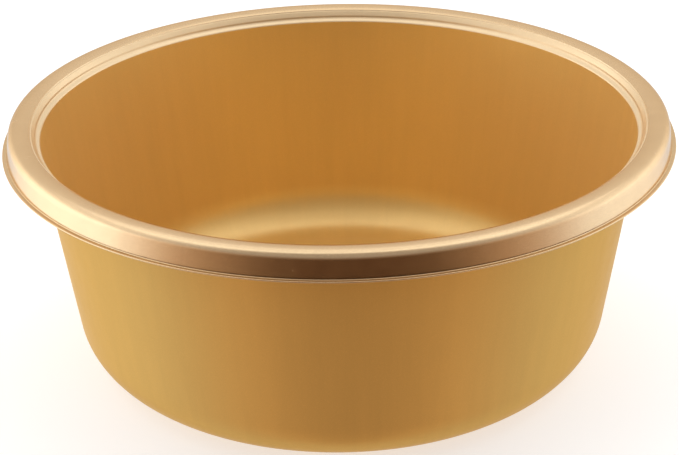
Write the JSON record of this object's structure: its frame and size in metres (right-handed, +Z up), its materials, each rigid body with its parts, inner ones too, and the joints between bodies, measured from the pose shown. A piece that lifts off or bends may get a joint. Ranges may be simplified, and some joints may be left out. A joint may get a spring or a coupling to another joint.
{
  "type": "wash basin",
  "caption": "Round household wash basin with a tapered wall, a raised floor disc, and a domed rim with a stepped inner shoulder and a thin out-turned lip.",
  "frame": {"origin": "on the basin's axis, in the plane that it stands on", "axes": "+Z up along the axis of the round basin, out of its mouth; X and Y are alike"},
  "size_m": [0.38, 0.38, 0.1467],
  "materials": {
    "body_satin": "pearlescent gold polypropylene, satin, with fine mica flake and a light mould texture",
    "rim_gloss": "pearlescent pale gold polypropylene, polished mould face"
  },
  "bodies": {
    "root": {"floor_disc": "body_satin", "foot_ring": "body_satin", "bottom_corner": "body_satin", "side_wall": "body_satin", "rim_shoulder": "rim_gloss", "rim_crown": "rim_gloss", "rim_skirt": "rim_gloss", "rim_lip": "rim_gloss"}
  },
  "joints": []
}
